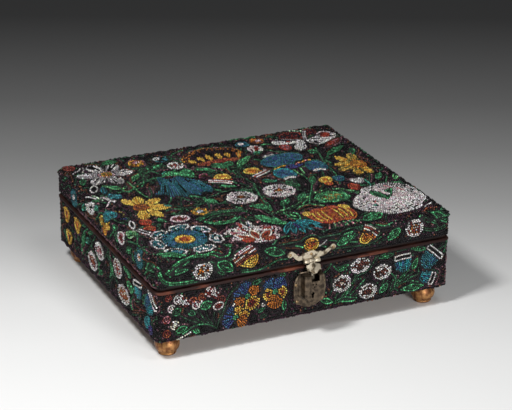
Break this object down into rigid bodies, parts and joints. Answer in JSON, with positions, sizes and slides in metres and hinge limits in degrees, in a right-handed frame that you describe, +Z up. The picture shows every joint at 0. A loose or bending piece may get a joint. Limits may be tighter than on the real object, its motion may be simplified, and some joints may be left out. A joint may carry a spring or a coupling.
{
  "type": "beaded box",
  "caption": "Rectangular wooden casket covered in floral bead embroidery, with a hinged lid, hasp, box lock and turned bun feet.",
  "frame": {"origin": "on the floor, under the middle of the whole object's box, lock and hinges included", "axes": "+X to the right along the front, +Y from the front to the hinges at the back, +Z up"},
  "size_m": [0.3046, 0.2774, 0.0993],
  "materials": {
    "casket_wood": "plain oiled walnut boards",
    "beadwork": "small glass beads sewn close on dark cloth, mostly black with flowers in white, blue, yellow, red and green",
    "edging_leather": "worn red-brown leather binding",
    "lining_silk": "faded red silk lining",
    "gilt_wood": "turned wood, gilded and rubbed",
    "hasp_brass": "pale tarnished brass",
    "lock_iron": "browned iron, worn smooth",
    "nail_metal": "dark brass nails"
  },
  "bodies": {
    "base": {"base_bottom_board": "casket_wood", "base_front_board": "casket_wood", "base_back_board": "casket_wood", "base_left_board": "casket_wood", "base_right_board": "casket_wood", "base_beadwork_front": "beadwork", "base_beadwork_back": "beadwork", "base_beadwork_left": "beadwork", "base_beadwork_right": "beadwork", "base_rim_edging": "edging_leather", "base_wall_lining": "lining_silk", "base_floor_pad": "lining_silk", "foot_front_left": "gilt_wood", "foot_front_right": "gilt_wood", "foot_back_right": "gilt_wood", "foot_back_left": "gilt_wood", "hinge_left_lower_leaf": "hasp_brass", "hinge_right_lower_leaf": "hasp_brass", "hinge_left_pin": "hasp_brass", "hinge_right_pin": "hasp_brass", "lock_plate": "lock_iron", "lock_case": "lock_iron", "lock_key_post": "lock_iron", "lock_bolt_spring": "lock_iron", "hinge_left_lower_nail_1": "nail_metal", "hinge_left_lower_nail_2": "nail_metal", "hinge_right_lower_nail_1": "nail_metal", "hinge_right_lower_nail_2": "nail_metal", "lock_nail_1": "nail_metal", "lock_nail_2": "nail_metal", "lock_nail_3": "nail_metal", "lock_nail_4": "nail_metal"},
    "lid": {"lid_top_board": "casket_wood", "lid_front_rail": "casket_wood", "lid_back_rail": "casket_wood", "lid_left_rail": "casket_wood", "lid_right_rail": "casket_wood", "lid_beadwork_top": "beadwork", "lid_beadwork_front": "beadwork", "lid_beadwork_back": "beadwork", "lid_beadwork_left": "beadwork", "lid_beadwork_right": "beadwork", "lid_rim_edging": "edging_leather", "lid_lining": "lining_silk", "hinge_left_upper_leaf": "hasp_brass", "hinge_right_upper_leaf": "hasp_brass", "hasp_mount": "hasp_brass", "hasp_pin": "hasp_brass", "hinge_left_upper_nail_1": "nail_metal", "hinge_left_upper_nail_2": "nail_metal", "hinge_right_upper_nail_1": "nail_metal", "hinge_right_upper_nail_2": "nail_metal", "hasp_nail_1": "nail_metal", "hasp_nail_2": "nail_metal", "hasp_nail_3": "nail_metal"},
    "hasp": {"hasp": "hasp_brass"},
    "lock_bolt": {"lock_bolt": "lock_iron"}
  },
  "joints": [
    {"name": "lid_hinge", "type": "hinge", "parent": "base", "child": "lid", "pos_m": [0, 0.1362, 0.06985], "axis": [-1, 0, 0], "range_deg": [0, 100]},
    {"name": "hasp_hinge", "type": "hinge", "parent": "lid", "child": "hasp", "pos_m": [0.0024, -0.1295, 0.075], "axis": [-1, 0, 0], "range_deg": [0, 110]},
    {"name": "bolt_slide", "type": "slide", "parent": "base", "child": "lock_bolt", "axis": [1, 0, 0], "range_m": [0, 0.0055]}
  ]
}
